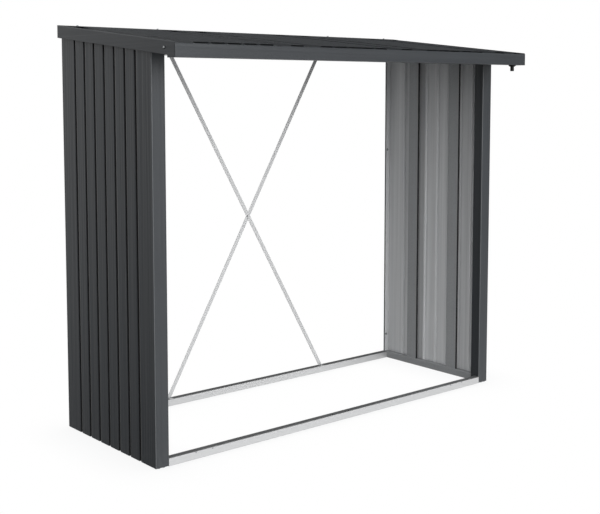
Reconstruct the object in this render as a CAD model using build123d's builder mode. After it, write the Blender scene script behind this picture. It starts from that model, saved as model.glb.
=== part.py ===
from build123d import *
from math import atan2, cos, sin, tan
import os

os.makedirs("parts", exist_ok=True)

# Overall sizes, in millimetres
roof_width = 2290.0
roof_depth = 1020.0
roof_back_height = 1990.0
roof_fall = 111.2
front_overhang = 218.2
side_overhang = 21.0

# Coated sheet of the walls and the roof
sheet = 0.8
fold_radius = 1.5
seam_gap = 0.3
groove_mouth = 14.0
groove_floor = 10.0
groove_depth = 12.0
wall_groove_count = 7
roof_groove_count = 26
overrun = 200.0

# Corner posts
post_side_width = 130.0
post_front_width = 69.0
post_return_depth = 60.0
post_lip = 12.0
back_flange_width = 44.0
back_lip = 10.0
ground_gap = 3.0

# Galvanised rails and beams
frame_sheet = 1.5
frame_fold_radius = 2.5
rail_width = 34.0
rail_height = 38.0
rail_lip = 8.0
beam_height = 60.0
top_rail_width = 28.0
top_rail_height = 40.0

# Upright stiffeners inside the side walls
stiffener_sheet = 1.0
stiffener_crown = 76.0
stiffener_depth = 40.0
stiffener_lean = 4.0
stiffener_flange = 12.0
stiffener_lip = 12.0
stiffener_shift = 20.0

# Roof trims
trim_strip_width = 26.5
trim_face = 60.0
trim_setback = 4.0
back_trim_top = 40.0

# Gutter and drain spout
gutter_height = 60.0
gutter_depth = 60.0
gutter_drop = 5.0
gutter_hem = 7.0
gutter_flange = 22.0
eave_setback = 48.0
end_cap_rim = 6.0
spout_inset = 72.0
spout_flange_diameter = 38.0
spout_flange_thickness = 5.0
spout_diameter = 20.0
spout_bore = 15.0
spout_drop = 33.0

# Cross bracing of the open back
strap_width = 22.0
strap_sheet = 2.0
strap_half_spread = 537.0
strap_tab = 22.0
strap_back_gap = 8.0
bolt_diameter = 8.0
bolt_clearance = 0.4
bolt_head_across_flats = 13.0
bolt_head_thickness = 5.5
bolt_nut_thickness = 6.5

# Places worked out from the sizes above
half_roof = roof_width / 2
half_base = half_roof - side_overhang
base_back = roof_depth / 2 - sheet
base_front = front_overhang - roof_depth / 2
base_depth = base_back - base_front
roof_front_height = roof_back_height - sheet - roof_fall
tilt = atan2(roof_fall, roof_depth)
wall_pitch = (base_depth - 2 * post_side_width) / (wall_groove_count - 1)
roof_pitch = (roof_width - 2 * trim_strip_width) / (roof_groove_count - 1)
wall_grooves = [post_side_width + i * wall_pitch for i in range(wall_groove_count)]
roof_grooves = [trim_strip_width - half_roof + i * roof_pitch for i in range(roof_groove_count)]
lap_depth = groove_depth + 2 * sheet
crisp_groove_folds = [0, 0]
wall_rib_inside = half_base - lap_depth
rail_inside = wall_rib_inside - rail_width
post_inside = half_base - post_front_width
gutter_top = roof_front_height - gutter_drop
gutter_bottom = gutter_top - gutter_height

# Planes that follow the roof
roof_edge = Vector(0, -roof_depth / 2, roof_front_height)
roof_normal = Vector(0, -sin(tilt), cos(tilt))
roof_downhill = Vector(0, -cos(tilt), -sin(tilt))
roof_plane = Plane(roof_edge, x_dir=(1, 0, 0), z_dir=roof_normal)
roof_section_plane = Plane(roof_edge, x_dir=(1, 0, 0), z_dir=roof_downhill)
roof_run = roof_depth / cos(tilt)


def roof_level(y, below):
    """Height of the surface that lies the given distance square below the roof strips."""
    return roof_front_height + (y + roof_depth / 2) * tan(tilt) - below / cos(tilt)


def upright_plane(y):
    """Upright plane across the width, facing the back."""
    return Plane((0, y, 0), x_dir=(1, 0, 0), z_dir=(0, 1, 0))


def hook_points(groove):
    """Start of a sheet that owns the floor of the groove it shares with its neighbour."""
    return [
        (groove - groove_floor / 2 + seam_gap, -groove_depth),
        (groove + groove_floor / 2, -groove_depth),
        (groove + groove_mouth / 2, 0),
    ]


def valley_points(first, last):
    """A valley inside one sheet, from its first groove to its last."""
    return [
        (first - groove_mouth / 2, 0),
        (first - groove_floor / 2, -groove_depth),
        (last + groove_floor / 2, -groove_depth),
        (last + groove_mouth / 2, 0),
    ]


def lap_points(first, last):
    """End of a sheet: a valley that passes under the floor of the neighbour's groove."""
    return [
        (first - groove_mouth / 2, 0),
        (first - groove_floor / 2, -groove_depth - sheet),
        (last + groove_floor / 2, -groove_depth - sheet),
    ]


def ribbed_points(hook, valleys, lap):
    """Outer face of a ribbed sheet from its hook to its lap."""
    points = hook_points(hook)
    for first, last in valleys:
        points += valley_points(first, last)
    return points + lap_points(*lap)


def on_right_wall(points):
    """Turns places along and into the wall into plan places on the right wall."""
    return [(half_base + into, base_front + along) for along, into in points]


def folded_section(points, thickness, radii, side):
    """Sketch of a folded sheet whose outer face follows the points, with a radius for each fold."""
    with BuildSketch() as section:
        with BuildLine():
            FilletPolyline(*points, radius=radii)
            offset(amount=thickness, side=side, kind=Kind.INTERSECTION)
        make_face()
    return section.sketch


def ribbed_section(points, side):
    """Sketch of a sheet that only has grooves."""
    with BuildSketch() as section:
        with BuildLine():
            Polyline(*points)
            offset(amount=sheet, side=side, kind=Kind.INTERSECTION)
        make_face()
    return section.sketch


def upright_sheet(section):
    """Sheet that stands from just above the ground to the underside of the roof's valleys."""
    with BuildPart() as piece:
        with BuildSketch(Plane.XY.offset(ground_gap)):
            add(section)
        extrude(amount=roof_back_height)
        split(bisect_by=roof_plane.offset(-lap_depth), keep=Keep.BOTTOM)
    return piece.part


def export_piece(piece, name):
    piece.label = name
    export_step(piece, f"parts/{name}.step")


def export_pair(right_piece, name):
    """Writes a piece of the right side and its mirror image on the left."""
    export_piece(right_piece, f"right_{name}")
    export_piece(mirror(right_piece, about=Plane.YZ, mode=Mode.PRIVATE), f"left_{name}")


# Front corner posts: side strip, front face, inner return and a stiffening lip
front_post_points = [
    (post_inside + post_lip, base_front + post_return_depth),
    (post_inside, base_front + post_return_depth),
    (post_inside, base_front),
    (half_base, base_front),
] + on_right_wall(lap_points(wall_grooves[0], wall_grooves[0]))
front_post_radii = [fold_radius] * 3 + crisp_groove_folds
front_post_section = folded_section(front_post_points, sheet, front_post_radii, Side.LEFT)
export_pair(upright_sheet(front_post_section), "front_post")

# Back corner posts: side strip and a narrow flange across the open back
back_post_points = on_right_wall(hook_points(wall_grooves[-1])) + [
    (half_base, base_back),
    (half_base - back_flange_width, base_back),
    (half_base - back_flange_width, base_back - back_lip),
]
back_post_radii = crisp_groove_folds + [fold_radius] * 2
back_post_section = folded_section(back_post_points, sheet, back_post_radii, Side.LEFT)
export_pair(upright_sheet(back_post_section), "back_post")

# Side wall sheets, each two strips wide
wall_sheet_names = ["front_wall_sheet", "middle_wall_sheet", "back_wall_sheet"]
strips_per_sheet = (wall_groove_count - 1) // len(wall_sheet_names)
for i, name in enumerate(wall_sheet_names):
    hook, *inner, lap = wall_grooves[i * strips_per_sheet : (i + 1) * strips_per_sheet + 1]
    wall_points = ribbed_points(hook, [(groove, groove) for groove in inner], (lap, lap))
    wall_section = ribbed_section(on_right_wall(wall_points), Side.LEFT)
    export_pair(upright_sheet(wall_section), name)


# Floor rails: folded channels, open below, with lips to stand on
def rail_section():
    """Channel with its top edge centred on the origin."""
    half_width = rail_width / 2
    points = [
        (-half_width + rail_lip, -rail_height),
        (-half_width, -rail_height),
        (-half_width, 0),
        (half_width, 0),
        (half_width, -rail_height),
        (half_width - rail_lip, -rail_height),
    ]
    return folded_section(points, frame_sheet, frame_fold_radius, Side.RIGHT)


def cross_rail(half_length, middle_y):
    """Floor rail across the width."""
    with BuildPart() as rail:
        with BuildSketch(Plane((0, middle_y, rail_height), x_dir=(0, 1, 0), z_dir=(1, 0, 0))):
            add(rail_section())
        extrude(amount=half_length, both=True)
    return rail.part


front_rail = cross_rail(post_inside, base_front + rail_width / 2)
export_piece(front_rail, "front_floor_rail")
back_rail_middle = base_back - sheet - rail_width / 2
back_rail = cross_rail(rail_inside, back_rail_middle)
export_piece(back_rail, "back_floor_rail")

side_rail_front = base_front + sheet
side_rail_length = base_depth - sheet - back_lip
with BuildPart() as side_rail:
    side_rail_end = (rail_inside + rail_width / 2, side_rail_front, rail_height)
    with BuildSketch(Plane(side_rail_end, x_dir=(-1, 0, 0), z_dir=(0, 1, 0))):
        add(rail_section())
    extrude(amount=side_rail_length)
export_pair(side_rail.part, "floor_rail")


# Wall top rails: channels under the edge of the roof, open towards the inside
with BuildPart() as top_rail:
    top_rail_face = -lap_depth
    top_rail_inside = wall_rib_inside - top_rail_width
    top_rail_points = [
        (top_rail_inside, top_rail_face),
        (wall_rib_inside, top_rail_face),
        (wall_rib_inside, top_rail_face - top_rail_height),
        (top_rail_inside, top_rail_face - top_rail_height),
    ]
    with BuildSketch(roof_section_plane):
        add(folded_section(top_rail_points, frame_sheet, frame_fold_radius, Side.RIGHT))
    extrude(amount=-roof_run)
    split(bisect_by=upright_plane(base_front + sheet), keep=Keep.TOP)
    split(bisect_by=upright_plane(base_back - sheet), keep=Keep.BOTTOM)
export_pair(top_rail.part, "top_rail")

# Upright stiffeners: profiles open to the front, between the floor rail and the top rail
pan_inside = half_base - sheet
stiffener_crown_inside = pan_inside - stiffener_depth


def stiffener(middle):
    """Lipped crown on one flank, whose flange lies on the inner face of a wall strip."""
    half_crown = stiffener_crown / 2
    flange_start = half_crown + stiffener_lean
    points = [
        (stiffener_crown_inside + stiffener_lip, middle - half_crown),
        (stiffener_crown_inside, middle - half_crown),
        (stiffener_crown_inside, middle + half_crown),
        (pan_inside - stiffener_sheet, middle + flange_start),
        (pan_inside - stiffener_sheet, middle + flange_start + stiffener_flange),
    ]
    with BuildPart() as upright:
        with BuildSketch(Plane.XY.offset(rail_height)):
            add(folded_section(points, stiffener_sheet, fold_radius, Side.RIGHT))
        extrude(amount=roof_back_height)
        split(bisect_by=roof_plane.offset(-lap_depth - top_rail_height), keep=Keep.BOTTOM)
    return upright.part


stiffener_front = base_front + wall_grooves[1] + stiffener_shift
stiffener_back = base_front + wall_grooves[-2] - stiffener_shift
export_pair(stiffener(stiffener_front), "front_stiffener")
export_pair(stiffener(stiffener_back), "back_stiffener")


# Beams across the width: channels whose top flange follows the roof
def roof_beam(face_y, flange_reach, half_length, side):
    """Channel with an upright web at one face and flanges that reach towards the other."""
    bottom = roof_level(face_y, lap_depth) - beam_height
    tip_y = face_y + flange_reach
    points = [
        (tip_y, roof_level(tip_y, lap_depth)),
        (face_y, roof_level(face_y, lap_depth)),
        (face_y, bottom),
        (tip_y, bottom),
    ]
    with BuildPart() as beam:
        with BuildSketch(Plane.YZ):
            add(folded_section(points, frame_sheet, frame_fold_radius, side))
        extrude(amount=half_length, both=True)
    return beam.part


front_beam = roof_beam(base_front, rail_width, post_inside, Side.LEFT)
export_piece(front_beam, "front_roof_beam")
back_beam_face = base_back - sheet
back_beam = roof_beam(back_beam_face, -rail_width, half_base - back_flange_width, Side.RIGHT)
export_piece(back_beam, "back_roof_beam")
back_beam_bottom = roof_level(back_beam_face, lap_depth) - beam_height

# Roof sheets: narrow grooves, one wide valley, and a wide valley that laps under the next sheet
roof_back_end = base_back - fold_radius
roof_sheet_names = ["left_roof_sheet", "middle_roof_sheet", "right_roof_sheet"]
strips_per_roof_sheet = (roof_groove_count - 2) // len(roof_sheet_names)
for i, name in enumerate(roof_sheet_names):
    own_grooves = roof_grooves[1:][i * strips_per_roof_sheet : (i + 1) * strips_per_roof_sheet + 1]
    hook, *narrow, valley_start, valley_end, lap_start, lap_end = own_grooves
    valleys = [(groove, groove) for groove in narrow] + [(valley_start, valley_end)]
    with BuildPart() as roof_sheet:
        with BuildSketch(roof_section_plane):
            add(ribbed_section(ribbed_points(hook, valleys, (lap_start, lap_end)), Side.RIGHT))
        extrude(amount=-roof_run - overrun)
        split(bisect_by=upright_plane(-roof_depth / 2 + eave_setback), keep=Keep.TOP)
        split(bisect_by=upright_plane(roof_back_end), keep=Keep.BOTTOM)
    export_piece(roof_sheet.part, name)

# Side trims: outer roof strip, upright face and a lip back to the wall
trim_notch_height = 2 * trim_face
trim_front_end = trim_setback - roof_depth / 2
cap_back = gutter_depth - roof_depth / 2


def side_trim(points, radii):
    """Side trim whose outer strip runs on over the end of the gutter."""
    with BuildPart() as trim:
        with BuildSketch(roof_section_plane):
            add(folded_section(points, sheet, radii, Side.LEFT))
        extrude(amount=-roof_run - overrun)
        split(bisect_by=upright_plane(trim_front_end), keep=Keep.TOP)
        split(bisect_by=upright_plane(roof_back_end), keep=Keep.BOTTOM)
        with BuildSketch(roof_plane.offset(-fold_radius)):
            Rectangle(roof_width, 2 * gutter_depth / cos(tilt))
        extrude(amount=-trim_notch_height, mode=Mode.SUBTRACT)
    return trim.part


trim_bottom = -trim_face
left_trim_points = lap_points(*roof_grooves[:2])[::-1] + [
    (-half_roof, 0),
    (-half_roof, trim_bottom),
    (-half_base, trim_bottom),
]
right_trim_points = [
    (half_base, trim_bottom),
    (half_roof, trim_bottom),
    (half_roof, 0),
] + hook_points(roof_grooves[-1])[::-1]
trim_radii = [fold_radius] * 2
export_piece(side_trim(left_trim_points, crisp_groove_folds + trim_radii), "left_roof_trim")
export_piece(side_trim(right_trim_points, trim_radii + crisp_groove_folds), "right_roof_trim")

# Back trim: lies on the roof strips and folds down over the back
with BuildPart() as back_trim:
    trim_front_y = roof_depth / 2 - back_trim_top
    back_trim_points = [
        (trim_front_y, roof_level(trim_front_y, -sheet)),
        (roof_depth / 2, roof_level(roof_depth / 2, -sheet)),
        (roof_depth / 2, roof_level(roof_depth / 2, -sheet) - trim_face),
    ]
    with BuildSketch(Plane.YZ):
        add(folded_section(back_trim_points, sheet, fold_radius, Side.RIGHT))
    extrude(amount=half_roof, both=True)
export_piece(back_trim.part, "back_roof_trim")

# Gutter: hemmed front face, floor, back wall and a flange under the roof sheets
gutter_front = sheet - roof_depth / 2
gutter_back = cap_back
gutter_floor = gutter_bottom + sheet
gutter_hang = lap_depth + sheet
gutter_flange_end = gutter_back + gutter_flange
spout_x = half_roof - spout_inset
spout_y = (gutter_front + gutter_back) / 2
with BuildPart() as gutter:
    gutter_points = [
        (gutter_front + gutter_hem, gutter_top - gutter_hem),
        (gutter_front + gutter_hem, gutter_top),
        (gutter_front, gutter_top),
        (gutter_front, gutter_floor),
        (gutter_back, gutter_floor),
        (gutter_back, roof_level(gutter_back, gutter_hang)),
        (gutter_flange_end, roof_level(gutter_flange_end, gutter_hang)),
    ]
    with BuildSketch(Plane.YZ):
        add(folded_section(gutter_points, sheet, fold_radius, Side.LEFT))
    extrude(amount=half_roof - sheet, both=True)
    with Locations((spout_x, spout_y, gutter_floor)):
        Hole(radius=spout_bore / 2, depth=gutter_height / 2)
export_piece(gutter.part, "front_gutter")

# Gutter end caps: plates with a rim that wraps the face and the floor
with BuildPart() as end_cap:
    with BuildSketch(Plane.YZ.offset(half_roof)):
        with BuildLine():
            Polyline(
                (-roof_depth / 2, gutter_bottom),
                (cap_back, gutter_bottom),
                (cap_back, gutter_top),
                (-roof_depth / 2, gutter_top),
                close=True,
            )
        make_face()
    extrude(amount=-sheet)
    with BuildSketch(Plane.YZ.offset(half_roof - sheet)):
        with BuildLine():
            Polyline(
                (-roof_depth / 2, gutter_top),
                (-roof_depth / 2, gutter_bottom),
                (cap_back, gutter_bottom),
                (cap_back, gutter_floor),
                (gutter_front, gutter_floor),
                (gutter_front, gutter_top),
                close=True,
            )
        make_face()
    extrude(amount=-end_cap_rim)
export_pair(end_cap.part, "gutter_end_cap")

# Drain spout under the right end of the gutter
with BuildPart() as drain_spout:
    spout_top = gutter_floor
    spout_axis = Plane((spout_x, spout_y, spout_top), x_dir=(1, 0, 0), z_dir=(0, -1, 0))
    with BuildSketch(spout_axis):
        with BuildLine():
            Polyline(
                (spout_bore / 2, 0),
                (spout_flange_diameter / 2, 0),
                (spout_flange_diameter / 2, -spout_flange_thickness),
                (spout_diameter / 2, -2 * spout_flange_thickness),
                (spout_diameter / 2, -spout_drop),
                (spout_bore / 2, -spout_drop),
                close=True,
            )
        make_face()
    revolve(axis=Axis((spout_x, spout_y, spout_top), (0, 0, 1)))
export_piece(drain_spout.part, "drain_spout")

# Cross braces: two straps with bent tabs, bolted where they cross
strap_lap_y = base_back - strap_back_gap - strap_sheet
strap_rise = back_beam_bottom - rail_height
strap_middle_height = rail_height + strap_rise / 2
strap_slope = atan2(2 * strap_half_spread, strap_rise)
strap_end_width = strap_width / cos(strap_slope)


def brace_strap(front_y, lean):
    """Strap that leans left (-1) or right (1) on its way up, with a tab at each end."""
    half_end = strap_end_width / 2
    foot = -lean * strap_half_spread
    with BuildPart() as strap:
        with BuildSketch(Plane((0, front_y, 0), x_dir=(1, 0, 0), z_dir=(0, -1, 0))):
            with BuildLine():
                Polyline(
                    (foot - half_end, rail_height),
                    (foot + half_end, rail_height),
                    (half_end - foot, back_beam_bottom),
                    (-half_end - foot, back_beam_bottom),
                    close=True,
                )
            make_face()
        extrude(amount=-strap_sheet)
        tab_middle_y = strap_lap_y - strap_sheet - strap_tab / 2
        tab_reach = front_y - (tab_middle_y - strap_tab / 2)
        for tab_x, tab_height in ((foot, rail_height), (-foot, back_beam_bottom - strap_sheet)):
            with BuildSketch(Plane.XY.offset(tab_height)):
                with Locations((tab_x, front_y - tab_reach / 2)):
                    Rectangle(strap_end_width, tab_reach)
            extrude(amount=strap_sheet)
        with BuildSketch(Plane((0, front_y, strap_middle_height), x_dir=(1, 0, 0), z_dir=(0, -1, 0))):
            Circle((bolt_diameter + bolt_clearance) / 2)
        extrude(amount=-strap_sheet, mode=Mode.SUBTRACT)
    return strap.part


export_piece(brace_strap(strap_lap_y - strap_sheet, -1), "front_brace_strap")
export_piece(brace_strap(strap_lap_y, 1), "back_brace_strap")

with BuildPart() as brace_bolt:
    bolt_face = Plane((0, strap_lap_y - strap_sheet, strap_middle_height), x_dir=(1, 0, 0), z_dir=(0, -1, 0))
    with BuildSketch(bolt_face):
        RegularPolygon(bolt_head_across_flats / 2, side_count=6, major_radius=False)
    extrude(amount=bolt_head_thickness)
    with BuildSketch(bolt_face):
        Circle(bolt_diameter / 2)
    extrude(amount=-2 * strap_sheet - bolt_nut_thickness)
    with BuildSketch(bolt_face.offset(-2 * strap_sheet)):
        RegularPolygon(bolt_head_across_flats / 2, side_count=6, major_radius=False)
    extrude(amount=-bolt_nut_thickness)
export_piece(brace_bolt.part, "brace_bolt")
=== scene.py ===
import math

import bmesh
import bpy
from bpy.props import FloatProperty, FloatVectorProperty, IntProperty, PointerProperty
from bpy.types import Operator, Panel, PropertyGroup
from mathutils import Matrix, Vector


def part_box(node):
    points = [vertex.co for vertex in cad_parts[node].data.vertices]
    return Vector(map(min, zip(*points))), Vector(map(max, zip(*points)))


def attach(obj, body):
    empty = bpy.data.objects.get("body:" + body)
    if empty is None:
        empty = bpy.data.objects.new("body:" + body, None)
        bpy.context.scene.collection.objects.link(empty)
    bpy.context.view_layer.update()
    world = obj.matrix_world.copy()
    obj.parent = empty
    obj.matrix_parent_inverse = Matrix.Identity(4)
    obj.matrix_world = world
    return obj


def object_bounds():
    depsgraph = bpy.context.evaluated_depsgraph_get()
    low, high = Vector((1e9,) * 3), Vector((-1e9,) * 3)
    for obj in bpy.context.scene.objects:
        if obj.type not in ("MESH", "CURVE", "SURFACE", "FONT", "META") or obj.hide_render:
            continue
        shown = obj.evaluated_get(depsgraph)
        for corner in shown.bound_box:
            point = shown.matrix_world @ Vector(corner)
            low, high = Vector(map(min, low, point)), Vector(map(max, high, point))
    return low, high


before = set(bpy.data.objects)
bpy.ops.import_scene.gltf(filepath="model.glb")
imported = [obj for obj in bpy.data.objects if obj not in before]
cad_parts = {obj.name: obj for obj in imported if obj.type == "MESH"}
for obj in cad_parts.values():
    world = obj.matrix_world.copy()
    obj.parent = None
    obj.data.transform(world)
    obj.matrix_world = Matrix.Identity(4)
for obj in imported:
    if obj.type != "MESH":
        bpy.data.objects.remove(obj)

bl_info = {
    "name": "Log Store Finish",
    "version": (1, 0, 0),
    "blender": (4, 5, 0),
    "location": "View3D > Sidebar > Log Store",
    "description": "Finishes and fasteners of a coated steel log store",
    "category": "Object",
}

BODY = "root"

# Sizes taken from the frame, in metres
CAD_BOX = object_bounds()
ROOF_FRONT, ROOF_BACK = CAD_BOX[0].y, CAD_BOX[1].y
HALF_ROOF = CAD_BOX[1].x
POST_LOW, POST_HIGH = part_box("right_front_post")
HALF_BASE = POST_HIGH.x
BASE_FRONT = POST_LOW.y
BASE_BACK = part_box("right_back_post")[1].y
FLANGE_MIDDLE = (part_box("right_back_post")[0].x + HALF_BASE) / 2
RIM_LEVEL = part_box("front_gutter")[1].z
ROOF_SHEET_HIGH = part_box("middle_roof_sheet")[1]
FRONT_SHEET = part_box("right_front_wall_sheet")
MIDDLE_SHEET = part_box("right_middle_wall_sheet")
BACK_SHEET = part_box("right_back_wall_sheet")
ROOF_SLOPE = (BACK_SHEET[1].z - FRONT_SHEET[1].z) / (BACK_SHEET[1].y - FRONT_SHEET[1].y)
WALL_SEAM = (FRONT_SHEET[1].y + MIDDLE_SHEET[0].y) / 2
WALL_PITCH = (MIDDLE_SHEET[0].y - FRONT_SHEET[0].y) / 2
FIRST_SEAM = WALL_SEAM - 2 * WALL_PITCH
LAST_SEAM = WALL_SEAM + 4 * WALL_PITCH
FRONT_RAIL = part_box("front_floor_rail")
BACK_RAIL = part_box("back_floor_rail")
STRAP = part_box("front_brace_strap")

# A pitch too wide for a second groove, how far a mask stays clear of a wall, and a place that all lies beyond
LONE_GROOVE = 4 * (ROOF_BACK - ROOF_FRONT)
WALL_CLEARANCE = 0.002
EVERYWHERE = Vector((-1, -1, 0))

SIDES = {"left": -1, "right": 1}
UP, DOWN = Vector((0, 0, 1)), Vector((0, 0, -1))
FORWARD = Vector((0, -1, 0))
OUTWARD_X = Vector((1, 0, 0))

# A fold is (a place on it, the axes across it, whether it follows the roof's fall)
UPRIGHT, SLOPING, LEVEL = (1, 1, 0), (1, 0, 1), (0, 1, 1)
STAYS_LEVEL, FOLLOWS_ROOF = 0.0, 1.0


def roof_top(y):
    """Height of the roof sheets' top face at depth y."""
    return ROOF_SHEET_HIGH.z + (y - ROOF_SHEET_HIGH.y) * ROOF_SLOPE


def shade(name, text, value):
    """A colour that a user may change."""
    return FloatVectorProperty(name=name, description=text, subtype="COLOR", size=4, min=0, max=1,
                               default=(*value, 1))


def length(name, text, value):
    """A length that a user may change, in metres."""
    return FloatProperty(name=name, description=text, unit="LENGTH", subtype="DISTANCE", min=0,
                         default=value)


def share(name, text, value):
    """A share from none to all that a user may change."""
    return FloatProperty(name=name, description=text, subtype="FACTOR", min=0, max=1, default=value)


class CoatLook(PropertyGroup):
    """Colours and grain of the coated sheets"""

    paint_dark: shade("Paint Dark", "Darker shade of the anthracite coat", (0.0185, 0.0218, 0.0260))
    paint_light: shade("Paint Light", "Lighter shade of the anthracite coat", (0.028, 0.0324, 0.0374))
    backing_dark: shade("Backing Dark", "Darker shade of the coat inside", (0.56, 0.57, 0.58))
    backing_light: shade("Backing Light", "Lighter shade of the coat inside", (0.72, 0.73, 0.74))
    # Light zinc rub along the folds, which also paints the folds' highlight
    rub_and_highlight: shade("Fold Rub And Highlight", "Zinc rub along a fold, also painting its highlight", (0.25, 0.26, 0.27))
    # Near-black painted shade inside the wall grooves, and the depth at which it is full
    groove_shade: shade("Groove Painted Shade", "Painted shade that darkens the grooves", (0.002, 0.002, 0.0025))
    splash: shade("Ground Splash", "Pale dust near the ground", (0.10, 0.10, 0.095))
    fold_radius: length("Fold Radius", "How far the look of a fold is rounded", 0.005)
    groove_half: length("Groove Half", "Half the width of a wall groove at its mouth", 0.007)
    line_depth: length("Line Depth", "Depth of the faint lines along a sheet", 0.0015)
    groove_shade_depth: length("Painted Shade Depth", "Depth in a groove at which the painted shade is full", 0.0010)
    splash_height: length("Splash Height", "Height that dust reaches above the ground", 0.16)
    paint_rough: share("Paint Roughness", "Mean roughness of the anthracite coat", 0.40)
    backing_rough: share("Backing Roughness", "Mean roughness of the coat inside", 0.42)


class ZincLook(PropertyGroup):
    """Colours and crystals of the galvanised steel"""

    satin_dark: shade("Satin Zinc Dark", "Darker crystals of the satin zinc", (0.495, 0.50, 0.505))
    satin_light: shade("Satin Zinc Light", "Lighter crystals of the satin zinc", (0.525, 0.53, 0.535))
    satin_rough: share("Satin Roughness", "Mean roughness of the satin zinc", 0.44)
    satin_metal: share("Satin Metal", "How much the satin zinc mirrors as metal", 0.50)
    dull_dark: shade("Dull Zinc Dark", "Darker crystals of the dull zinc", (0.31, 0.32, 0.33))
    dull_light: shade("Dull Zinc Light", "Lighter crystals of the dull zinc", (0.37, 0.38, 0.39))
    dull_rough: share("Dull Roughness", "Mean roughness of the dull zinc", 0.58)
    dull_metal: share("Dull Metal", "How much the dull zinc mirrors as metal", 0.35)
    # Dark painted shade on the front-facing lips of the stiffeners
    lip_painted_shade: shade("Painted Lip Shade", "Painted shade on the lips of the stiffeners", (0.030, 0.031, 0.033))
    # Darker painted shade on the up-facing tops of the cross rails
    top_painted_shade: shade("Painted Top Shade", "Painted shade on the tops of the rails", (0.17, 0.174, 0.178))
    crystal: length("Crystal Size", "Mean width of a zinc crystal", 0.003)


class PlasticLook(PropertyGroup):
    """Colours and gloss of the black plastic and rubber"""

    black_dark: shade("Black Dark", "Darker shade of the black plastic", (0.002, 0.002, 0.002))
    black_light: shade("Black Light", "Lighter shade of the black plastic", (0.006, 0.006, 0.006))
    gloss: share("Gloss", "How much the black plastic mirrors", 0.25)
    rough_low: share("Low Roughness", "Lowest roughness of the black plastic", 0.48)
    rough_high: share("High Roughness", "Highest roughness of the black plastic", 0.66)


class FastenerSizes(PropertyGroup):
    """Sizes of the screws and bolts"""

    across_flats: length("Across Flats", "Width of a screw's hexagon", 0.008)
    head_height: length("Head Height", "Height of the hexagon above its flange", 0.0032)
    flange_diameter: length("Flange Diameter", "Diameter of the flange under the hexagon", 0.0115)
    flange_height: length("Flange Height", "Thickness of the flange under the hexagon", 0.0009)
    washer_diameter: length("Washer Diameter", "Diameter of the rubber washer", 0.014)
    washer_height: length("Washer Height", "Thickness of the rubber washer", 0.0016)
    trim_screw_setback: length("Trim Screw Setback", "From the roof's front to the side trim's screw", 0.082)
    trim_face: length("Trim Face", "Height of the side trim's face", 0.060)
    rail_mark_outer: length("Rail Screw Outer", "From the middle to the outer rail screw", 0.908)
    rail_mark_inner: length("Rail Screw Inner", "From the middle to the inner rail screw", 0.817)
    rail_joint_left: length("Rail Joint Left", "From the middle to the left screw of the rail's joint", 0.067)
    rail_joint_right: length("Rail Joint Right", "From the middle to the right screw of the rail's joint",
                             0.042)
    rail_screw_drop: length("Rail Screw Drop", "From the rail's top to its face screws", 0.006)
    rail_joint_setback: length("Rail Joint Setback", "From the rail's face to its joint screws", 0.0045)
    pan_diameter: length("Pan Diameter", "Diameter of a pan-head screw", 0.007)
    pan_height: length("Pan Height", "Height of a pan-head screw", 0.0022)
    strap_sheet: length("Strap Sheet", "Thickness of a brace strap", 0.002)
    strap_bolt_inset: length("Strap Bolt Inset", "From the end of a strap to the bolt of its tab", 0.0127)
    strap_bolt_setback: length("Strap Bolt Setback", "From the front of a tab to its bolt", 0.011)
    back_screw_outer: length("Back Screw Outer", "From the middle to the back trim's outer screw", 1.046)
    back_screw_inner: length("Back Screw Inner", "From the middle to the back trim's inner screw", 0.586)
    back_screw_setback: length("Back Screw Setback", "From the roof's back to the trim's screws", 0.018)
    flange_screw_low: length("Flange Screw Low", "Height of the lower screw of a back flange", 0.141)
    flange_screw_high: length("Flange Screw High", "Height of the upper screw of a back flange", 1.308)
    sides: IntProperty(name="Sides", description="Sides of a turned ring", default=24, min=12)


class TrimEndSizes(PropertyGroup):
    """Sizes of the laps at the ends of the side trims"""

    overlap: length("Overlap", "How far a lap runs back over its trim", 0.010)
    face: length("Face", "Height of a side trim's face below the roof", 0.0595)
    edge: length("Edge", "How far a lap stays inside the edges it covers", 0.0006)
    clip: length("Clip", "Length of the lap's clipped front corner", 0.0035)
    clearance: length("Clearance", "Gap between a lap and the trim behind it", 0.0001)
    sheet: length("Sheet", "Thickness of a lap", 0.0007)


class StageLook(PropertyGroup):
    """Camera and light of the studio"""

    camera_place: FloatVectorProperty(name="Camera Place", description="Where the camera stands",
                                      subtype="TRANSLATION", unit="LENGTH",
                                      default=(-3.6117, -4.2231, 1.6800))
    camera_turn: FloatProperty(name="Camera Turn", description="Turn of the camera to the right",
                               subtype="ANGLE", unit="ROTATION", default=0.7018)
    camera_tilt: FloatProperty(name="Camera Tilt", description="Tilt of the camera below the horizon",
                               subtype="ANGLE", unit="ROTATION", default=0.0890)
    lens: FloatProperty(name="Lens", description="Focal length in millimetres",
                        subtype="DISTANCE_CAMERA", unit="CAMERA", default=64.13)
    lift: FloatProperty(name="Lift", description="Shift of the lens, which lifts the store when below zero",
                        subtype="FACTOR", min=-1, max=1, default=-0.12)
    ambient: share("Ambient", "Light from everywhere", 0.06)
    floor_white: shade("Floor", "Colour of the studio floor", (1.0, 1.0, 1.0))
    floor_shade: shade("Floor Shade", "Colour of the floor close under the store", (0.86, 0.865, 0.87))
    floor_half: length("Floor Half Width", "Half the width of the studio floor", 40.0)
    shade_reach: length("Shade Reach", "How far the shade on the floor spreads", 0.30)


# Node helpers
def add(tree, kind, inputs=None, **settings):
    """A new node with its settings, and its inputs set or linked."""
    made = tree.nodes.new(kind)
    for key, value in settings.items():
        setattr(made, key, value)
    for key, value in (inputs or {}).items():
        if isinstance(value, bpy.types.NodeSocket):
            tree.links.new(value, made.inputs[key])
        else:
            made.inputs[key].default_value = value
    return made


def maths(tree, operation, first, second=0.0, clamp=False):
    """The result of one sum on values."""
    return add(tree, "ShaderNodeMath", {0: first, 1: second}, operation=operation,
               use_clamp=clamp).outputs[0]


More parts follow.
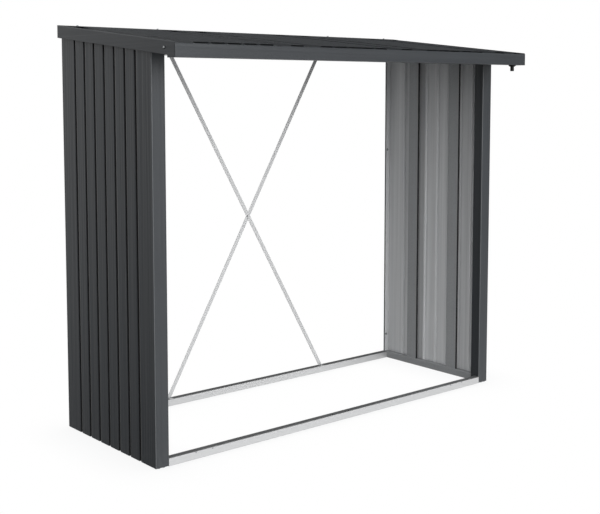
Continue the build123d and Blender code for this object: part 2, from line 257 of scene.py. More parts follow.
def vector_maths(tree, operation, first, second):
    """The result of one sum on vectors: a vector, or the value of a dot product or length."""
    made = add(tree, "ShaderNodeVectorMath", {0: first, 1: second}, operation=operation)
    return made.outputs["Value" if operation in ("DOT_PRODUCT", "LENGTH") else "Vector"]


def soft_step(tree, value, start, end):
    """A smooth rise from 0 at start to 1 at end."""
    return add(tree, "ShaderNodeMapRange", {"Value": value, "From Min": start, "From Max": end},
               interpolation_type="SMOOTHSTEP").outputs["Result"]


def spread(tree, value, low, high):
    """A value from 0 to 1, spread between low and high."""
    return add(tree, "ShaderNodeMapRange", {"Value": value, "To Min": low, "To Max": high}).outputs["Result"]


def noise(tree, place, scale, detail):
    """Soft noise at a place: a value first, then a colour."""
    return add(tree, "ShaderNodeTexNoise", {"Vector": place, "Scale": scale, "Detail": detail}).outputs


def weighted_sum(tree, parts, start=0.0):
    """The sum of a start and of (value, weight) parts."""
    total = start
    for value, weight in parts:
        total = maths(tree, "ADD", maths(tree, "MULTIPLY", value, weight), total)
    return total


MIX_FACTOR, MIX_FIRST, MIX_SECOND, MIX_RESULT = 0, 6, 7, 2


def mix_colour(tree, factor, first, second):
    """A colour between two others."""
    made = add(tree, "ShaderNodeMix", {MIX_FACTOR: factor, MIX_FIRST: first, MIX_SECOND: second},
               data_type="RGBA")
    return made.outputs[MIX_RESULT]


def new_group(name, inputs, outputs):
    """An empty shader node group with named sockets, and its two end nodes."""
    tree = bpy.data.node_groups.new(name, "ShaderNodeTree")
    for label, kind, value in inputs:
        tree.interface.new_socket(label, in_out="INPUT", socket_type=kind).default_value = value
    for label in outputs:
        tree.interface.new_socket(label, in_out="OUTPUT", socket_type="NodeSocketFloat")
    return tree, tree.nodes.new("NodeGroupInput").outputs, tree.nodes.new("NodeGroupOutput").inputs


def use_group(tree, name, build, **values):
    """A node that uses a group, which is built the first time it is asked for."""
    group = bpy.data.node_groups.get(name) or build(name)
    made = tree.nodes.new("ShaderNodeGroup")
    made.node_tree = group
    for key, value in values.items():
        socket = made.inputs[key.replace("_", " ").title()]
        if isinstance(value, bpy.types.NodeSocket):
            tree.links.new(value, socket)
        else:
            socket.default_value = value
    return made.outputs


def right_hand(tree, follow_roof=0.0):
    """Position and normal mirrored to the right-hand side, with the roof's fall taken out of heights."""
    surface = tree.nodes.new("ShaderNodeNewGeometry").outputs
    place = add(tree, "ShaderNodeSeparateXYZ", {0: surface["Position"]}).outputs
    side = maths(tree, "SIGN", place["X"])
    depth = maths(tree, "SUBTRACT", place["Y"], ROOF_SHEET_HIGH.y)
    fall = maths(tree, "MULTIPLY", maths(tree, "MULTIPLY", depth, ROOF_SLOPE), follow_roof)
    level = maths(tree, "SUBTRACT", place["Z"], fall)
    flip = add(tree, "ShaderNodeCombineXYZ", {"X": side, "Y": 1.0, "Z": 1.0}).outputs[0]
    position = add(tree, "ShaderNodeCombineXYZ",
                   {"X": maths(tree, "ABSOLUTE", place["X"]), "Y": place["Y"], "Z": level}).outputs[0]
    return position, vector_maths(tree, "MULTIPLY", surface["True Normal"], flip)


# Effects shared by the materials: noise scales per metre, shares in a tone, and steps that a mask rises over
TURNED_AWAY = -0.05
# Depth at which the painted shade in a groove begins
GROOVE_SHADE_START = 0.0003
COAT_CLOUDS = 2.6
COAT_SHARES = (0.35, 0.40, 0.25)
COAT_STEP = (0.30, 0.70)
CRYSTAL_RAGS = 240.0
CRYSTAL_BEND = (0.004, 0.004, 0.004)
ZINC_CLOUDS = 9.0
ZINC_SHARES = (0.45, 0.30, 0.25)
ZINC_STEP = (0.15, 0.85)
SPLASH_PATCHES = 45.0
SPLASH_STEP = (0.35, 0.75)


def build_backing_side(name):
    """Mask of the faces that turn away from the painted side and lie beyond a place across and in depth."""
    tree, given, out = new_group(
        name,
        [("Painted Way", "NodeSocketVector", (1, 0, 0)), ("Beyond", "NodeSocketVector", (0, 0, 0))],
        ["Mask"])
    position, normal = right_hand(tree)
    facing = vector_maths(tree, "DOT_PRODUCT", normal, given["Painted Way"])
    away = maths(tree, "LESS_THAN", facing, TURNED_AWAY)
    past = add(tree, "ShaderNodeSeparateXYZ",
               {0: vector_maths(tree, "SUBTRACT", position, given["Beyond"])}).outputs
    outside = maths(tree, "GREATER_THAN", past["X"], 0.0)
    behind = maths(tree, "GREATER_THAN", past["Y"], 0.0)
    mask = maths(tree, "MULTIPLY", maths(tree, "MULTIPLY", outside, behind), away)
    tree.links.new(mask, out["Mask"])
    return tree


def edge_fall(tree, distance, radius):
    """Height of a rounded edge, which falls away within the radius."""
    near = maths(tree, "DIVIDE", maths(tree, "SUBTRACT", radius, distance), radius, clamp=True)
    return maths(tree, "MULTIPLY", maths(tree, "MULTIPLY", near, near), maths(tree, "MULTIPLY", radius, -0.5))


def build_round_fold(name):
    """Height that rounds the sheet on both sides of one long fold."""
    tree, given, out = new_group(
        name,
        [("Fold", "NodeSocketVector", (0, 0, 0)), ("Across", "NodeSocketVector", (1, 1, 0)),
         ("Follow Roof", "NodeSocketFloat", 0.0), ("Radius", "NodeSocketFloat", 0.005)],
        ["Height"])
    position, _ = right_hand(tree, given["Follow Roof"])
    away = vector_maths(tree, "SUBTRACT", position, given["Fold"])
    distance = vector_maths(tree, "LENGTH", vector_maths(tree, "MULTIPLY", away, given["Across"]), (0, 0, 0))
    tree.links.new(edge_fall(tree, distance, given["Radius"]), out["Height"])
    return tree


def build_groove(name):
    """Height that rounds the strips beside upright grooves, and mask of the painted shade that darkens them.
    """
    tree, given, out = new_group(
        name,
        [("Seam", "NodeSocketFloat", 0.0), ("Pitch", "NodeSocketFloat", 0.09),
         ("Half Width", "NodeSocketFloat", 0.007), ("Radius", "NodeSocketFloat", 0.005),
         ("Full Depth", "NodeSocketFloat", 0.001)],
        ["Height", "Painted Shade"])
    place = add(tree, "ShaderNodeSeparateXYZ", {0: right_hand(tree)[0]}).outputs
    along = maths(tree, "SUBTRACT", place["Y"], given["Seam"])
    centre = maths(tree, "PINGPONG", along, maths(tree, "MULTIPLY", given["Pitch"], 0.5))
    edge = maths(tree, "SUBTRACT", centre, given["Half Width"])
    tree.links.new(edge_fall(tree, maths(tree, "MAXIMUM", edge, 0.0), given["Radius"]), out["Height"])
    # Painted shade: the inside of each groove is masked to be darkened towards black
    deep = soft_step(tree, maths(tree, "SUBTRACT", HALF_BASE, place["X"]), GROOVE_SHADE_START, given["Full Depth"])
    tree.links.new(maths(tree, "MULTIPLY", deep, maths(tree, "LESS_THAN", edge, 0.0)), out["Painted Shade"])
    return tree


def build_coat_grain(name):
    """Tone, fine height and long lines of a rolled coat."""
    tree, given, out = new_group(
        name, [("Draw", "NodeSocketVector", (60, 60, 1)), ("Speckle", "NodeSocketFloat", 900.0)],
        ["Tone", "Height", "Lines"])
    place = tree.nodes.new("ShaderNodeTexCoord").outputs["Object"]
    fine = noise(tree, place, given["Speckle"], 2.0)[0]
    lines = noise(tree, vector_maths(tree, "MULTIPLY", place, given["Draw"]), 1.0, 3.0)[0]
    clouds = noise(tree, place, COAT_CLOUDS, 3.0)[0]
    tone = weighted_sum(tree, zip((fine, lines, clouds), COAT_SHARES))
    tree.links.new(soft_step(tree, tone, *COAT_STEP), out["Tone"])
    tree.links.new(fine, out["Height"])
    tree.links.new(lines, out["Lines"])
    return tree


def build_zinc_spangle(name):
    """Tone of zinc crystals and height of the faint roll lines along the piece."""
    tree, given, out = new_group(
        name, [("Draw", "NodeSocketVector", (2, 90, 90)), ("Cells", "NodeSocketFloat", 200.0)],
        ["Tone", "Height"])
    place = tree.nodes.new("ShaderNodeTexCoord").outputs["Object"]
    ragged = noise(tree, place, CRYSTAL_RAGS, 2.0)["Color"]
    bent = add(tree, "ShaderNodeVectorMath", {0: ragged, 1: CRYSTAL_BEND, 2: place},
               operation="MULTIPLY_ADD").outputs[0]
    cells = add(tree, "ShaderNodeTexVoronoi", {"Vector": bent, "Scale": given["Cells"]})
    cell = add(tree, "ShaderNodeSeparateColor", {0: cells.outputs["Color"]}).outputs["Red"]
    lines = noise(tree, vector_maths(tree, "MULTIPLY", place, given["Draw"]), 1.0, 4.0)[0]
    clouds = noise(tree, place, ZINC_CLOUDS, 3.0)[0]
    tone = weighted_sum(tree, zip((cell, lines, clouds), ZINC_SHARES))
    tree.links.new(soft_step(tree, tone, *ZINC_STEP), out["Tone"])
    tree.links.new(lines, out["Height"])
    return tree


def build_ground_splash(name):
    """Mask of dust that rain throws up from the ground, patchy and fading with height."""
    tree, given, out = new_group(name, [("Height", "NodeSocketFloat", 0.16)], ["Mask"])
    place = tree.nodes.new("ShaderNodeTexCoord").outputs["Object"]
    level = add(tree, "ShaderNodeSeparateXYZ", {0: place}).outputs["Z"]
    low = maths(tree, "SUBTRACT", 1.0, soft_step(tree, level, 0.0, given["Height"]))
    patches = soft_step(tree, noise(tree, place, SPLASH_PATCHES, 5.0)[0], *SPLASH_STEP)
    tree.links.new(maths(tree, "MULTIPLY", low, patches), out["Mask"])
    return tree


# Materials: bump strengths, spreads of roughness, shares of wear and of painted fold highlight, and noise
# scales along and across a piece
GRAIN_DEPTH = 0.0004
COAT_BUMP, ZINC_BUMP, PLASTIC_BUMP = 0.12, 0.03, 0.25
COAT_ROUGH_SPREAD, ZINC_ROUGH_SPREAD = 0.05, 0.015
# Roughness inside the painted groove shade
GROOVE_SHADE_ROUGH = 0.95
# Shares of the zinc rub along folds, which also paints the folds' highlight, and of the ground dust
RUB_AND_HIGHLIGHT_SHARE, POST_RUB_AND_HIGHLIGHT_SHARE, SPLASH_SHARE = 0.13, 0.75, 0.12
BACKING_LOW, BACKING_HIGH = -0.4, 1.4
PLASTIC_SPECKLE = 1400.0
ALONG_X, ALONG_Y, ALONG_Z = (0.8, 70, 70), (70, 0.8, 70), (70, 70, 0.8)
DRAWN_X, DRAWN_Y, DRAWN_Z = (2, 90, 90), (90, 2, 90), (90, 90, 2)
DRAWN_STRAP, DRAWN_BOLT = (40, 90, 40), (90, 20, 90)


def new_material(name):
    """An empty node material, its Principled shader and its tree."""
    material = bpy.data.materials.new(name)
    material.use_nodes = True
    tree = material.node_tree
    return material, tree, tree.nodes["Principled BSDF"]


def finish_surface(tree, shader, colour, rough, height, bump, shape=None):
    """Links colour, roughness and relief to a shader, and a shape in metres where one is given."""
    grain = {"Height": height, "Strength": bump, "Distance": GRAIN_DEPTH}
    relief = add(tree, "ShaderNodeBump", grain).outputs[0]
    if shape:
        relief = add(tree, "ShaderNodeBump", {"Height": shape, "Distance": 1.0, "Normal": relief}).outputs[0]
    tree.links.new(colour, shader.inputs["Base Color"])
    tree.links.new(rough, shader.inputs["Roughness"])
    tree.links.new(relief, shader.inputs["Normal"])


def coated(name, draw, backing=(), folds=(), groove=None, splash=False, rub_and_highlight_share=RUB_AND_HIGHLIGHT_SHARE):
    """Coated sheet: anthracite outside, light coat inside, rounded folds with a rub that also paints their
    highlight, and painted shade in the grooves.
    """
    look = bpy.context.scene.log_store_coat
    material, tree, shader = new_material(name)
    grain = use_group(tree, "Coat Grain", build_coat_grain, draw=draw)
    paint = mix_colour(tree, grain["Tone"], look.paint_dark, look.paint_light)
    rough = spread(tree, grain["Tone"], look.paint_rough - COAT_ROUGH_SPREAD,
                   look.paint_rough + COAT_ROUGH_SPREAD)
    shape = maths(tree, "MULTIPLY", grain["Lines"], look.line_depth)
    for fold, across, follow_roof in folds:
        rounded = use_group(tree, "Round Fold", build_round_fold, fold=fold, across=across,
                            follow_roof=follow_roof, radius=look.fold_radius)["Height"]
        shape = maths(tree, "ADD", shape, rounded)
        # A light rub along each fold, which also paints the fold's highlight
        rubbed_and_lit = maths(tree, "MULTIPLY", rounded, -rub_and_highlight_share * 2 / look.fold_radius)
        paint = mix_colour(tree, rubbed_and_lit, paint, look.rub_and_highlight)
    if splash:
        dusty = use_group(tree, "Ground Splash", build_ground_splash, height=look.splash_height)["Mask"]
        paint = mix_colour(tree, maths(tree, "MULTIPLY", dusty, SPLASH_SHARE), paint, look.splash)
    if groove:
        seam, pitch = groove
        grooves = use_group(tree, "Groove", build_groove, seam=seam, pitch=pitch, half_width=look.groove_half,
                            radius=look.fold_radius, full_depth=look.groove_shade_depth)
        shape = maths(tree, "ADD", shape, grooves["Height"])
        # Painted shade: the grooves are darkened towards black
        paint = mix_colour(tree, grooves["Painted Shade"], paint, look.groove_shade)
        rough = maths(tree, "MAXIMUM", rough, maths(tree, "MULTIPLY", grooves["Painted Shade"], GROOVE_SHADE_ROUGH))
    for way, beyond in backing:
        inside = use_group(tree, "Backing Side", build_backing_side, painted_way=way, beyond=beyond)["Mask"]
        drawn = spread(tree, grain["Lines"], BACKING_LOW, BACKING_HIGH)
        back_coat = mix_colour(tree, drawn, look.backing_dark, look.backing_light)
        paint = mix_colour(tree, inside, paint, back_coat)
        rough = maths(tree, "MAXIMUM", rough, maths(tree, "MULTIPLY", inside, look.backing_rough))
    finish_surface(tree, shader, paint, rough, grain["Height"], COAT_BUMP, shape)
    return material


def galvanised(name, draw, kind, unshaded_way=None, painted_shade=None):
    """Satin or dull galvanised steel with fine zinc crystals, and a painted shade on faces turned from the
    unshaded way.
    """
    look = bpy.context.scene.log_store_zinc
    dark, light = getattr(look, f"{kind}_dark"), getattr(look, f"{kind}_light")
    mean_rough = getattr(look, f"{kind}_rough")
    material, tree, shader = new_material(name)
    zinc = use_group(tree, "Zinc Spangle", build_zinc_spangle, draw=draw, cells=1.0 / look.crystal)
    colour = mix_colour(tree, zinc["Tone"], dark, light)
    rough = spread(tree, zinc["Tone"], mean_rough + ZINC_ROUGH_SPREAD, mean_rough - ZINC_ROUGH_SPREAD)
    shader.inputs["Metallic"].default_value = getattr(look, f"{kind}_metal")
    if unshaded_way:
        shaded_faces = use_group(tree, "Backing Side", build_backing_side, painted_way=unshaded_way,
                          beyond=EVERYWHERE)["Mask"]
        # Painted shade on the faces turned from the unshaded way
        colour = mix_colour(tree, shaded_faces, colour, painted_shade)
    finish_surface(tree, shader, colour, rough, zinc["Height"], ZINC_BUMP)
    return material


def moulded_black(name):
    """Matt black moulded plastic or rubber with a fine grain."""
    look = bpy.context.scene.log_store_plastic
    material, tree, shader = new_material(name)
    grain = use_group(tree, "Coat Grain", build_coat_grain, draw=ALONG_Z, speckle=PLASTIC_SPECKLE)
    colour = mix_colour(tree, grain["Tone"], look.black_dark, look.black_light)
    rough = spread(tree, grain["Tone"], look.rough_low, look.rough_high)
    shader.inputs["Specular IOR Level"].default_value = look.gloss
    finish_surface(tree, shader, colour, rough, grain["Height"], PLASTIC_BUMP)
    return material


def shared_material(name, build):
    """A material that is built once."""
    return bpy.data.materials.get(name) or build(name)


def dress(nodes, material):
    """Gives CAD nodes a material in place of the one they came with."""
    for name in nodes:
        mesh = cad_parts[name].data
        mesh.materials.clear()
        mesh.materials.append(material)


# Fastener meshes: profiles are shares of (radius, height)
HEAD, WASHER = 0, 1
HEX_SIDES = 6
CORNER_DROP_SHARE = 0.18
CROWN_SHARE = 0.93
FLANGE_SINK, FLANGE_EDGE, FLANGE_TOP = 0.6, 0.5, 0.95
WASHER_PROFILE = ((1.0, 0.0), (1.03, 0.45), (0.97, 0.85), (0.90, 1.0))
PAN_PROFILE = ((1.0, 0.0), (1.0, 0.35), (0.90, 0.70), (0.68, 0.93), (0.42, 1.0), (0.34, 0.55))
SPIN_STEP = 0.37
SHARP_ANGLE = math.radians(30)


def ring(bm, points):
    """Vertices of one closed ring."""
    return [bm.verts.new(point) for point in points]


def skin(bm, rings, material):
    """Faces between rings of the same count, with the last ring closed by a cap."""
    faces = []
    for low, high in zip(rings, rings[1:]):
        count = len(low)
        for i in range(count):
            j = (i + 1) % count
            faces.append(bm.faces.new((low[i], low[j], high[j], high[i])))
    faces.append(bm.faces.new(rings[-1]))
    for face in faces:
        face.material_index = material
        face.smooth = True


def turned(bm, place, profile, count, material):
    """A turned form from (radius, height) steps about the local Z of place."""
    rings = []
    for radius, height in profile:
        angles = [math.tau * i / count for i in range(count)]
        rings.append(ring(bm, [place @ Vector((radius * math.cos(a), radius * math.sin(a), height))
                               for a in angles]))
    skin(bm, rings, material)


def hexagon(bm, place, across_flats, low, high, material):
    """A hexagon head whose corners are turned off at the top."""
    flat = across_flats / 2
    corner = flat / math.cos(math.pi / HEX_SIDES)
    drop = (high - low) * CORNER_DROP_SHARE
    angles = [math.pi * i / HEX_SIDES for i in range(2 * HEX_SIDES)]
    radii = [corner if i % 2 else flat for i in range(2 * HEX_SIDES)]
    drops = [drop if i % 2 else 0.0 for i in range(2 * HEX_SIDES)]
    wall = [Vector((r * math.cos(a), r * math.sin(a), 0)) for r, a in zip(radii, angles)]
    crown = [Vector((math.cos(a), math.sin(a), 0)) * flat * CROWN_SHARE for a in angles]
    rings = [ring(bm, [place @ (p + UP * low) for p in wall]),
             ring(bm, [place @ (p + UP * (high - drop - d)) for p, d in zip(wall, drops)]),
             ring(bm, [place @ (p + UP * high) for p in crown])]
    skin(bm, rings, material)


def seat_place(seat, facing, spin):
    """The place of a fastener whose local Z stands off the face it sits on."""
    turn = facing.to_track_quat("Z", "Y").to_matrix().to_4x4()
    return Matrix.Translation(seat) @ turn @ Matrix.Rotation(spin, 4, "Z")


def flanged_head(bm, place, base):
    """A hexagon head with its flange, at a height above the seat."""
    sizes = bpy.context.scene.log_store_fasteners
    radius, flat = sizes.flange_diameter / 2, base + sizes.flange_height
    profile = [(radius, base * FLANGE_SINK), (radius, base + sizes.flange_height * FLANGE_EDGE),
               (radius * FLANGE_TOP, flat)]
    turned(bm, place, profile, sizes.sides, HEAD)
    hexagon(bm, place, sizes.across_flats, base, flat + sizes.head_height, HEAD)


def sealed_screw(bm, place):
    """A flanged hexagon screw on its rubber washer."""
    sizes = bpy.context.scene.log_store_fasteners
    radius, base = sizes.washer_diameter / 2, sizes.washer_height
    turned(bm, place, [(radius * r, base * h) for r, h in WASHER_PROFILE], sizes.sides, WASHER)
    flanged_head(bm, place, base)


def plain_bolt(bm, place):
    """A flanged hexagon bolt that sits on the steel."""
    flanged_head(bm, place, 0.0)


def pan_screw(bm, place):
    """A small pan-head screw with a round drive recess."""
    sizes = bpy.context.scene.log_store_fasteners
    radius, high = sizes.pan_diameter / 2, sizes.pan_height
    turned(bm, place, [(radius * r, high * h) for r, h in PAN_PROFILE], sizes.sides, HEAD)


def new_piece(name, bm, materials):
    """A piece that rides on the store, from a finished mesh."""
    mesh = bpy.data.meshes.new(name)
    bm.normal_update()
    bm.to_mesh(mesh)
    bm.free()
    mesh.set_sharp_from_angle(angle=SHARP_ANGLE)
    for material in materials:
        mesh.materials.append(material)
    piece = bpy.data.objects.new(name, mesh)
    bpy.context.scene.collection.objects.link(piece)
    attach(piece, BODY)


def fastener_piece(name, make, seats, black=False):
    """One piece with a fastener at each (seat, facing), zinc plated or black."""
    bm = bmesh.new()
    for i, (seat, facing) in enumerate(seats):
        make(bm, seat_place(seat, facing, SPIN_STEP * i))
    zinc = shared_material("zinc_screw_head", lambda n: galvanised(n, ALONG_Z, "dull"))
    rubber = shared_material("rubber_washer", moulded_black)
    new_piece(name, bm, [rubber if black else zinc, rubber])


# Operators
class LOGSTORE_OT_wall_sheets(Operator):
    """Coat the side wall sheets, anthracite outside and light grey inside"""

    bl_idname = "log_store.wall_sheets"
    bl_label = "Wall Sheets"

    def execute(self, context):
        material = coated("wall_sheet_coat", ALONG_Z, backing=[(OUTWARD_X, EVERYWHERE)],
                          groove=(WALL_SEAM, WALL_PITCH), splash=True)
        dress([f"{side}_{place}_wall_sheet" for side in SIDES for place in ("front", "middle", "back")],
              material)
        return {"FINISHED"}


class LOGSTORE_OT_corner_posts(Operator):
    """Coat the corner posts"""

    bl_idname = "log_store.corner_posts"
    bl_label = "Corner Posts"

    def execute(self, context):
        side_strip = Vector((MIDDLE_SHEET[0].x - WALL_CLEARANCE, ROOF_FRONT, 0))
        flange = Vector((0, BACK_RAIL[1].y - WALL_CLEARANCE, 0))
        front_folds = [((x, BASE_FRONT, 0), UPRIGHT, STAYS_LEVEL) for x in (HALF_BASE, POST_LOW.x)]
        dress(["left_front_post", "right_front_post"],
              coated("front_post_coat", ALONG_Z, backing=[(OUTWARD_X, side_strip)], folds=front_folds,
                     # The posts take a stronger rub, which paints the highlight along their corner folds
                     groove=(FIRST_SEAM, LONE_GROOVE), splash=True, rub_and_highlight_share=POST_RUB_AND_HIGHLIGHT_SHARE))
        back_sides = [(OUTWARD_X, side_strip), (OUTWARD_X, flange), (-FORWARD, flange)]
        back_folds = [((HALF_BASE, BASE_BACK, 0), UPRIGHT, STAYS_LEVEL)]
        dress(["left_back_post", "right_back_post"],
              coated("back_post_coat", ALONG_Z, backing=back_sides, folds=back_folds,
                     groove=(LAST_SEAM, LONE_GROOVE), splash=True, rub_and_highlight_share=POST_RUB_AND_HIGHLIGHT_SHARE))
        return {"FINISHED"}


class LOGSTORE_OT_roof_sheets(Operator):
    """Coat the roof sheets"""

    bl_idname = "log_store.roof_sheets"
    bl_label = "Roof Sheets"

    def execute(self, context):
        dress(["left_roof_sheet", "middle_roof_sheet", "right_roof_sheet"],
              coated("roof_sheet_coat", ALONG_Y))
        return {"FINISHED"}


class LOGSTORE_OT_roof_edges(Operator):
    """Coat the roof trims, the gutter and its end caps"""

    bl_idname = "log_store.roof_edges"
    bl_label = "Roof Edges"

    def execute(self, context):
        side_fold = (HALF_ROOF, 0, ROOF_SHEET_HIGH.z), SLOPING, FOLLOWS_ROOF
        dress(["left_roof_trim", "right_roof_trim"], coated("side_trim_coat", ALONG_Y, folds=[side_fold]))
        back_fold = (0, ROOF_BACK, roof_top(ROOF_BACK)), LEVEL, STAYS_LEVEL
        dress(["back_roof_trim"], coated("back_trim_coat", ALONG_X, folds=[back_fold]))
        rim = (0, ROOF_FRONT, RIM_LEVEL), LEVEL, STAYS_LEVEL
        dress(["front_gutter"], coated("gutter_coat", ALONG_X, folds=[rim]))
        cap_edges = [((HALF_ROOF, ROOF_FRONT, 0), UPRIGHT, STAYS_LEVEL),
                     ((HALF_ROOF, 0, RIM_LEVEL), SLOPING, STAYS_LEVEL)]
        dress(["left_gutter_end_cap", "right_gutter_end_cap"],
              coated("end_cap_coat", ALONG_Z, folds=cap_edges))
        return {"FINISHED"}


class LOGSTORE_OT_trim_ends(Operator):
    """Lap the ends of the side trims over the gutter's end caps"""

    bl_idname = "log_store.trim_ends"
    bl_label = "Trim Ends"

    def execute(self, context):
        sizes = context.scene.log_store_trim_ends
        folds = [((HALF_ROOF, 0, ROOF_SHEET_HIGH.z), SLOPING, FOLLOWS_ROOF),
                 ((HALF_ROOF, ROOF_FRONT, 0), UPRIGHT, STAYS_LEVEL)]
        material = coated("trim_end_coat", ALONG_Y, folds=folds)
        cap_low, cap_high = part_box("right_gutter_end_cap")
        back = cap_high.y + sizes.overlap
        front = cap_low.y + sizes.edge
        clipped = front + sizes.clip
        outline = [(back, roof_top(back) - sizes.face), (front, cap_low.z + sizes.edge),
                   (front, cap_high.z - sizes.edge), (clipped, roof_top(clipped) - sizes.edge),
                   (back, roof_top(back) - sizes.edge)]
        for side, way in SIDES.items():
            bm = bmesh.new()
            faces = [ring(bm, [(way * (HALF_ROOF + off), y, z) for y, z in outline])
                     for off in (sizes.clearance, sizes.clearance + sizes.sheet)]
            skin(bm, faces if way < 0 else [f[::-1] for f in faces], 0)
            new_piece(f"{side}_trim_end", bm, [material])
        return {"FINISHED"}


class LOGSTORE_OT_zinc_frame(Operator):
    """Give rails, beams and stiffeners their zinc, drawn along their length, with painted shade on rail tops,
    stiffener lips and side rails
    """

    bl_idname = "log_store.zinc_frame"
    bl_label = "Galvanised Frame"

    def execute(self, context):
        look = context.scene.log_store_zinc
        # The cross rails' up-facing tops take a painted shade
        across = galvanised("cross_rail_zinc", DRAWN_X, "satin", unshaded_way=DOWN, painted_shade=look.top_painted_shade)
        # The side and top rails take the darker dull zinc, which paints the shade on the side rails
        along = galvanised("side_rail_shaded_zinc", DRAWN_Y, "dull")
        # The stiffeners' front-facing lips take a dark painted shade
        upright = galvanised("stiffener_zinc", DRAWN_Z, "dull", unshaded_way=-FORWARD, painted_shade=look.lip_painted_shade)
        dress(["front_floor_rail", "back_floor_rail", "front_roof_beam", "back_roof_beam"], across)
        dress(["left_floor_rail", "right_floor_rail", "left_top_rail", "right_top_rail"], along)
        dress([f"{side}_{place}_stiffener" for side in SIDES for place in ("front", "back")], upright)
        return {"FINISHED"}


class LOGSTORE_OT_brace(Operator):
    """Give the crossed straps and their bolt their zinc"""

    bl_idname = "log_store.brace"
    bl_label = "Cross Brace"

    def execute(self, context):
        dress(["front_brace_strap", "back_brace_strap"], galvanised("strap_zinc", DRAWN_STRAP, "satin"))
        dress(["brace_bolt"], galvanised("bolt_zinc", DRAWN_BOLT, "satin"))
        return {"FINISHED"}


class LOGSTORE_OT_drain_spout(Operator):
    """Make the drain spout black plastic"""

    bl_idname = "log_store.drain_spout"
    bl_label = "Drain Spout"

    def execute(self, context):
        dress(["drain_spout"], moulded_black("spout_plastic"))
        return {"FINISHED"}


class LOGSTORE_OT_roof_screws(Operator):
    """Put the screws into the side trims and the back trim"""

    bl_idname = "log_store.roof_screws"
    bl_label = "Roof Screws"

    def execute(self, context):
        sizes = context.scene.log_store_fasteners
        depth = ROOF_FRONT + sizes.trim_screw_setback
        level = roof_top(depth) - sizes.trim_face / 2
        for side, way in SIDES.items():
            fastener_piece(f"{side}_trim_screw", sealed_screw,
                           [(Vector((way * HALF_ROOF, depth, level)), OUTWARD_X * way)])
        depth = ROOF_BACK - sizes.back_screw_setback
        roof_way = Vector((0, -ROOF_SLOPE, 1)).normalized()
        places = [way * x for way in (-1, 1) for x in (sizes.back_screw_outer, sizes.back_screw_inner)]
        fastener_piece("back_trim_screws", sealed_screw,
                       [(Vector((x, depth, roof_top(depth))), roof_way) for x in places])
        return {"FINISHED"}


class LOGSTORE_OT_frame_screws(Operator):
    """Put the screws into the back flanges, the front rail and the strap ends"""

    bl_idname = "log_store.frame_screws"
    bl_label = "Frame Screws"

    def execute(self, context):
        sizes = context.scene.log_store_fasteners
        flange_face = BACK_RAIL[1].y
        for side, way in SIDES.items():
            seats = [(Vector((way * FLANGE_MIDDLE, flange_face, z)), FORWARD)
                     for z in (sizes.flange_screw_low, sizes.flange_screw_high)]
            fastener_piece(f"{side}_flange_screws", sealed_screw, seats)
        face_level = FRONT_RAIL[1].z - sizes.rail_screw_drop
        marks = [way * x for way in (-1, 1) for x in (sizes.rail_mark_outer, sizes.rail_mark_inner)]
        seats = [(Vector((x, FRONT_RAIL[0].y, face_level)), FORWARD) for x in marks]
        fastener_piece("front_rail_screws", pan_screw, seats)
        joint = FRONT_RAIL[0].y + sizes.rail_joint_setback
        marks = [-sizes.rail_joint_left, sizes.rail_joint_right]
        seats = [(Vector((x, joint, FRONT_RAIL[1].z)), UP) for x in marks]
        fastener_piece("front_rail_joint_screws", pan_screw, seats, black=True)
        reach = STRAP[1].x - sizes.strap_bolt_inset
        depth = STRAP[0].y + sizes.strap_bolt_setback
        for side, way in SIDES.items():
            foot = Vector((way * reach, depth, STRAP[0].z + sizes.strap_sheet))
            head = Vector((way * reach, depth, STRAP[1].z - sizes.strap_sheet))
            fastener_piece(f"{side}_strap_bolts", plain_bolt, [(foot, UP), (head, DOWN)])
        return {"FINISHED"}


# Soft lights: direction, angles from it in degrees where the light is full and where it ends, strength
LOBES = {
    "Key Left": ((-0.55, -0.65, 0.55), 15, 55, 1.66),
    "Front High": ((0.20, -0.92, 0.33), 8, 30, 6.30),
    "Front Right": ((0.53, -0.83, -0.14), 5, 20, 0.25),
    "Front Floor": ((0.55, -0.65, -0.75), 20, 50, 1.25),
    "Front Left": ((-0.65, -0.75, 0.05), 8, 30, 0.50),
    "Front Left Floor": ((-0.5, -0.5, -0.9), 20, 45, 0.15),
    "Back Left": ((-0.20, 0.95, 0.20), 10, 42, 1.03),
    "Back Floor": ((0.65, 0.6, -0.6), 20, 45, 0.80),
    "Overhead": ((0.0, 0.0, 1.0), 25, 70, 0.50),
    "Left": ((-0.95, 0.1, 0.25), 15, 50, 0.25),
    "Right": ((1.0, -0.1, 0.5), 10, 35, 0.20),
    "Back High": ((-0.1, 0.7, 0.7), 15, 50, 0.12),
}
FLOOR_GAP = 0.0004
SHADE_SAMPLES = 8


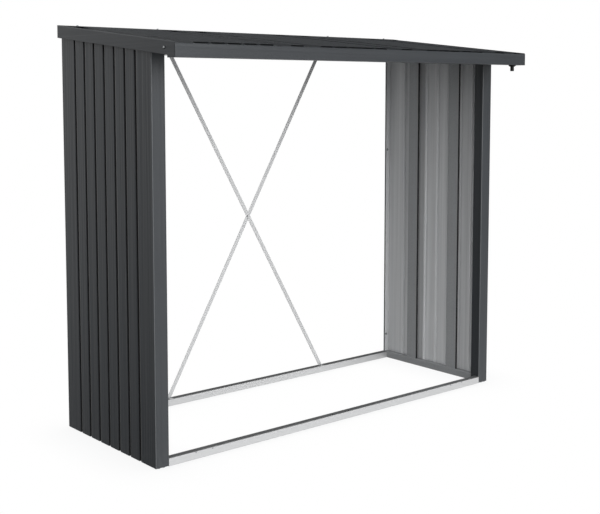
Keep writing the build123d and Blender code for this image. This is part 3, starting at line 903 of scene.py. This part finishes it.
class LOGSTORE_OT_stage(Operator):
    """Set the floor, the soft light and the camera"""

    bl_idname = "log_store.stage"
    bl_label = "Studio"

    def execute(self, context):
        look = context.scene.log_store_stage
        self.light(context.scene, look)
        self.floor(context.scene, look)
        self.camera(context.scene, look)
        context.scene.view_settings.view_transform = "Standard"
        return {"FINISHED"}

    def light(self, scene, look):
        """A dome of soft lights, with a plain white backdrop for the camera."""
        world = bpy.data.worlds.new("studio_dome")
        world.use_nodes = True
        tree = world.node_tree
        tree.nodes.clear()
        way = tree.nodes.new("ShaderNodeTexCoord").outputs["Generated"]
        lobes = []
        for direction, inner, outer, strength in LOBES.values():
            toward = vector_maths(tree, "DOT_PRODUCT", way, Vector(direction).normalized())
            lobe = soft_step(tree, toward, math.cos(math.radians(outer)), math.cos(math.radians(inner)))
            lobes.append((lobe, strength))
        total = weighted_sum(tree, lobes, look.ambient)
        dome = add(tree, "ShaderNodeBackground", {"Strength": total})
        backdrop = add(tree, "ShaderNodeBackground", {"Color": look.floor_white})
        seen = tree.nodes.new("ShaderNodeLightPath").outputs["Is Camera Ray"]
        both = add(tree, "ShaderNodeMixShader", {0: seen, 1: dome.outputs[0], 2: backdrop.outputs[0]})
        add(tree, "ShaderNodeOutputWorld", {"Surface": both.outputs[0]})
        scene.world = world

    def floor(self, scene, look):
        """A pale floor with a soft shade close under the store."""
        bm = bmesh.new()
        half = look.floor_half
        level = CAD_BOX[0].z - FLOOR_GAP
        corners = [(-half, -half), (half, -half), (half, half), (-half, half)]
        bm.faces.new([bm.verts.new((x, y, level)) for x, y in corners])
        mesh = bpy.data.meshes.new("studio_floor")
        bm.to_mesh(mesh)
        bm.free()
        material = bpy.data.materials.new("studio_floor")
        material.use_nodes = True
        tree = material.node_tree
        tree.nodes.clear()
        open_share = add(tree, "ShaderNodeAmbientOcclusion", {"Distance": look.shade_reach},
                         samples=SHADE_SAMPLES).outputs["AO"]
        colour = mix_colour(tree, open_share, look.floor_shade, look.floor_white)
        glow = add(tree, "ShaderNodeEmission", {"Color": colour})
        add(tree, "ShaderNodeOutputMaterial", {"Surface": glow.outputs[0]})
        mesh.materials.append(material)
        floor = bpy.data.objects.new("studio_floor", mesh)
        floor.visible_diffuse = False
        floor.visible_glossy = False
        floor.visible_shadow = False
        scene.collection.objects.link(floor)

    def camera(self, scene, look):
        """The camera in front of the store, to its left."""
        data = bpy.data.cameras.new("studio_camera")
        data.lens = look.lens
        data.shift_y = look.lift
        data.dof.use_dof = False
        camera = bpy.data.objects.new("studio_camera", data)
        camera.location = look.camera_place
        camera.rotation_euler = math.pi / 2 - look.camera_tilt, 0, -look.camera_turn
        scene.collection.objects.link(camera)
        scene.camera = camera


GROUPS = {
    "log_store_coat": CoatLook,
    "log_store_zinc": ZincLook,
    "log_store_plastic": PlasticLook,
    "log_store_trim_ends": TrimEndSizes,
    "log_store_fasteners": FastenerSizes,
    "log_store_stage": StageLook,
}
OPERATORS = (
    LOGSTORE_OT_wall_sheets,
    LOGSTORE_OT_corner_posts,
    LOGSTORE_OT_roof_sheets,
    LOGSTORE_OT_roof_edges,
    LOGSTORE_OT_trim_ends,
    LOGSTORE_OT_zinc_frame,
    LOGSTORE_OT_brace,
    LOGSTORE_OT_drain_spout,
    LOGSTORE_OT_roof_screws,
    LOGSTORE_OT_frame_screws,
    LOGSTORE_OT_stage,
)


class LOGSTORE_PT_panel(Panel):
    """Lists the store's finishes and fasteners"""

    bl_idname = "LOGSTORE_PT_panel"
    bl_label = "Log Store"
    bl_space_type = "VIEW_3D"
    bl_region_type = "UI"
    bl_category = "Log Store"

    def draw(self, context):
        for name, group in GROUPS.items():
            box = self.layout.box()
            box.label(text=group.__doc__)
            for key in group.__annotations__:
                box.prop(getattr(context.scene, name), key)
        for operator in OPERATORS:
            self.layout.operator(operator.bl_idname)


def register():
    """Registers the classes and the scene's settings."""
    for group in (*GROUPS.values(), *OPERATORS, LOGSTORE_PT_panel):
        bpy.utils.register_class(group)
    for name, group in GROUPS.items():
        setattr(bpy.types.Scene, name, PointerProperty(type=group))


def unregister():
    """Takes the settings and classes away again."""
    for name in GROUPS:
        delattr(bpy.types.Scene, name)
    for group in reversed((*GROUPS.values(), *OPERATORS, LOGSTORE_PT_panel)):
        bpy.utils.unregister_class(group)


def main():
    """Dresses the store and sets the stage."""
    register()
    for operator in OPERATORS:
        group, name = operator.bl_idname.split(".")
        getattr(getattr(bpy.ops, group), name)()


if __name__ == "__main__":
    main()
